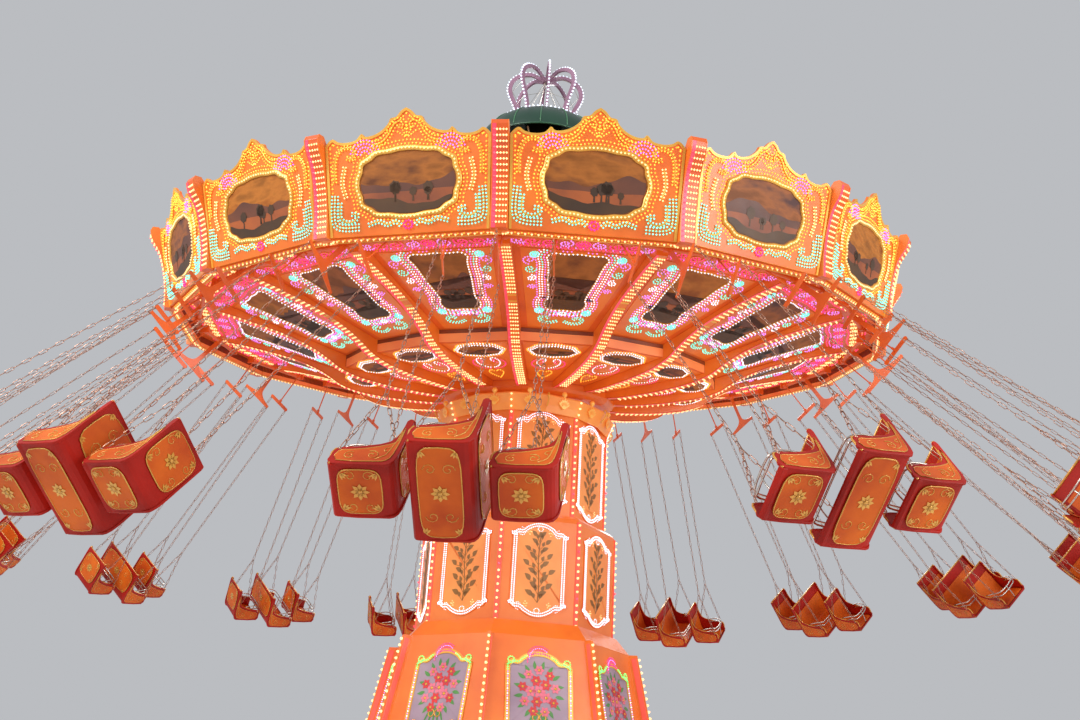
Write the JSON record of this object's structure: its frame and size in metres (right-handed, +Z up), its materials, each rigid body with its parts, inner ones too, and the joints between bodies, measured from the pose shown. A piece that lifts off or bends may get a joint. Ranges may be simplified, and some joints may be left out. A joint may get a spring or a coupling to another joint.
{
  "type": "chair swing ride",
  "caption": "Fairground chair swing ride with a telescoping eight-sided tower, a tilting, turning canopy hung with chairs on chains, decorated boards and a crown on top",
  "frame": {"origin": "on the ground under the tower's centre", "axes": "+Z up, -Y towards the side that the picture shows, +X to its right"},
  "size_m": [17.4228, 16.0047, 13.5003],
  "materials": {
    "orange_paint": "gloss fairground enamel",
    "peach_paint": "satin enamel",
    "gold_paint": "gold enamel",
    "soffit_paint": "satin enamel",
    "brown_paint": "satin enamel",
    "green_paint": "satin enamel",
    "mauve_paint": "satin enamel",
    "red_paint": "gloss enamel",
    "dark_steel": "semi-gloss"
  },
  "bodies": {
    "base": {"ground_frame": "dark_steel", "base_skirt": "orange_paint", "skirt_shoulder": "orange_paint", "inner_mast": "dark_steel"},
    "tower_middle": {"middle_casing": "peach_paint"},
    "tower_upper": {"upper_casing": "peach_paint", "collar": "gold_paint", "centre_mast": "dark_steel", "dome": "green_paint", "crown": "mauve_paint"},
    "tilt_head": {"tilt_ring": "dark_steel"},
    "canopy": {"hub_wall": "orange_paint", "hub_lip": "orange_paint", "hub_bowl": "orange_paint", "sweep_frame": "orange_paint", "soffit_inner": "soffit_paint", "step_riser": "brown_paint", "soffit_outer": "soffit_paint", "soffit_edge": "soffit_paint", "rim_ring": "orange_paint", "roof_wall": "green_paint", "roof_lower": "green_paint", "roof_upper": "green_paint", "fascia_01": "orange_paint", "fascia_02": "orange_paint", "fascia_03": "orange_paint", "fascia_04": "orange_paint", "fascia_05": "orange_paint", "fascia_06": "orange_paint", "fascia_07": "orange_paint", "fascia_08": "orange_paint", "fascia_09": "orange_paint", "fascia_10": "orange_paint", "fascia_11": "orange_paint", "fascia_12": "orange_paint", "fascia_13": "orange_paint", "fascia_14": "orange_paint", "fascia_15": "orange_paint", "fascia_16": "orange_paint"},
    "swing_01": {"swing_set_01": "red_paint"},
    "swing_02": {"swing_set_02": "red_paint"},
    "swing_03": {"swing_set_03": "red_paint"},
    "swing_04": {"swing_set_04": "red_paint"},
    "swing_05": {"swing_set_05": "red_paint"},
    "swing_06": {"swing_set_06": "red_paint"},
    "swing_07": {"swing_set_07": "red_paint"},
    "swing_08": {"swing_set_08": "red_paint"},
    "swing_09": {"swing_set_09": "red_paint"},
    "swing_10": {"swing_set_10": "red_paint"},
    "swing_11": {"swing_set_11": "red_paint"},
    "swing_12": {"swing_set_12": "red_paint"},
    "swing_13": {"swing_set_13": "red_paint"},
    "swing_14": {"swing_set_14": "red_paint"},
    "swing_15": {"swing_set_15": "red_paint"},
    "swing_16": {"swing_set_16": "red_paint"}
  },
  "joints": [
    {"name": "middle_lift", "type": "slide", "parent": "base", "child": "tower_middle", "axis": [0, 0, 1], "range_m": [-1.37, 0]},
    {"name": "upper_lift", "type": "slide", "parent": "tower_middle", "child": "tower_upper", "axis": [0, 0, 1], "range_m": [-1.42, 0]},
    {"name": "head_tilt", "type": "hinge", "parent": "tower_upper", "child": "tilt_head", "pos_m": [0, 0, 8.4], "axis": [0.9925, -0.1219, 0], "range_deg": [-8.7, 0]},
    {"name": "canopy_turn", "type": "hinge", "parent": "tilt_head", "child": "canopy", "pos_m": [0, 0, 8.4], "axis": [-0.0184, -0.1501, 0.9885], "continuous": true},
    {"name": "swing_01_swing", "type": "hinge", "parent": "canopy", "child": "swing_01", "pos_m": [-0.1416, -4.80162, 7.72878], "axis": [-0.9994, 0.0314, -0.0139], "range_deg": [-46.6, 2]},
    {"name": "swing_02_swing", "type": "hinge", "parent": "canopy", "child": "swing_02", "pos_m": [1.72402, -4.4951, 7.81013], "axis": [-0.9344, -0.3491, -0.0705], "range_deg": [-47.9, 2.07]},
    {"name": "swing_03_swing", "type": "hinge", "parent": "canopy", "child": "swing_03", "pos_m": [3.327, -3.50562, 7.99031], "axis": [-0.7272, -0.6765, -0.1163], "range_deg": [-50.13, 2.16]},
    {"name": "swing_04_swing", "type": "hinge", "parent": "canopy", "child": "swing_04", "pos_m": [4.4233, -1.98381, 8.24188], "axis": [-0.4092, -0.9009, -0.1445], "range_deg": [-51.24, 2.21]},
    {"name": "swing_05_swing", "type": "hinge", "parent": "canopy", "child": "swing_05", "pos_m": [4.84603, -0.16135, 8.52656], "axis": [-0.029, -0.9882, -0.1506], "range_deg": [-49.25, 2.12]},
    {"name": "swing_06_swing", "type": "hinge", "parent": "canopy", "child": "swing_06", "pos_m": [4.53083, 1.6843, 8.801], "axis": [0.3557, -0.925, -0.1339], "range_deg": [-43.63, 1.88]},
    {"name": "swing_07_swing", "type": "hinge", "parent": "canopy", "child": "swing_07", "pos_m": [3.52568, 3.27216, 9.02342], "axis": [0.6862, -0.7209, -0.0967], "range_deg": [-35.86, 1.55]},
    {"name": "swing_08_swing", "type": "hinge", "parent": "canopy", "child": "swing_08", "pos_m": [1.98361, 4.36048, 9.15996], "axis": [0.9122, -0.4072, -0.0448], "range_deg": [-28.83, 1.25]},
    {"name": "swing_09_swing", "type": "hinge", "parent": "canopy", "child": "swing_09", "pos_m": [0.13939, 4.7836, 9.18984], "axis": [0.9994, -0.0314, 0.0139], "range_deg": [-25.43, 1.1]},
    {"name": "swing_10_swing", "type": "hinge", "parent": "canopy", "child": "swing_10", "pos_m": [-1.72623, 4.47708, 9.10849], "axis": [0.9344, 0.3491, 0.0705], "range_deg": [-26.99, 1.17]},
    {"name": "swing_11_swing", "type": "hinge", "parent": "canopy", "child": "swing_11", "pos_m": [-3.32921, 3.4876, 8.92831], "axis": [0.7272, 0.6765, 0.1163], "range_deg": [-32.67, 1.41]},
    {"name": "swing_12_swing", "type": "hinge", "parent": "canopy", "child": "swing_12", "pos_m": [-4.42551, 1.96579, 8.67674], "axis": [0.4092, 0.9009, 0.1445], "range_deg": [-39.88, 1.72]},
    {"name": "swing_13_swing", "type": "hinge", "parent": "canopy", "child": "swing_13", "pos_m": [-4.84825, 0.14333, 8.39205], "axis": [0.029, 0.9882, 0.1506], "range_deg": [-45.73, 1.97]},
    {"name": "swing_14_swing", "type": "hinge", "parent": "canopy", "child": "swing_14", "pos_m": [-4.53304, -1.70231, 8.11762], "axis": [-0.3557, 0.925, 0.1339], "range_deg": [-48.48, 2.09]},
    {"name": "swing_15_swing", "type": "hinge", "parent": "canopy", "child": "swing_15", "pos_m": [-3.5279, -3.29017, 7.89519], "axis": [-0.6862, 0.7209, 0.0967], "range_deg": [-48.34, 2.08]},
    {"name": "swing_16_swing", "type": "hinge", "parent": "canopy", "child": "swing_16", "pos_m": [-1.98582, -4.3785, 7.75866], "axis": [-0.9122, 0.4072, 0.0448], "range_deg": [-47.05, 2.03]}
  ],
  "couplings": [
    {"joint": "swing_02_swing", "follows": "swing_01_swing", "ratio": 1.028},
    {"joint": "swing_03_swing", "follows": "swing_01_swing", "ratio": 1.0759},
    {"joint": "swing_04_swing", "follows": "swing_01_swing", "ratio": 1.0997},
    {"joint": "swing_05_swing", "follows": "swing_01_swing", "ratio": 1.057},
    {"joint": "swing_06_swing", "follows": "swing_01_swing", "ratio": 0.93636},
    {"joint": "swing_07_swing", "follows": "swing_01_swing", "ratio": 0.76956},
    {"joint": "swing_08_swing", "follows": "swing_01_swing", "ratio": 0.61875},
    {"joint": "swing_09_swing", "follows": "swing_01_swing", "ratio": 0.54561},
    {"joint": "swing_10_swing", "follows": "swing_01_swing", "ratio": 0.57922},
    {"joint": "swing_11_swing", "follows": "swing_01_swing", "ratio": 0.7011},
    {"joint": "swing_12_swing", "follows": "swing_01_swing", "ratio": 0.8559},
    {"joint": "swing_13_swing", "follows": "swing_01_swing", "ratio": 0.98134},
    {"joint": "swing_14_swing", "follows": "swing_01_swing", "ratio": 1.0404},
    {"joint": "swing_15_swing", "follows": "swing_01_swing", "ratio": 1.0374},
    {"joint": "swing_16_swing", "follows": "swing_01_swing", "ratio": 1.0096}
  ]
}
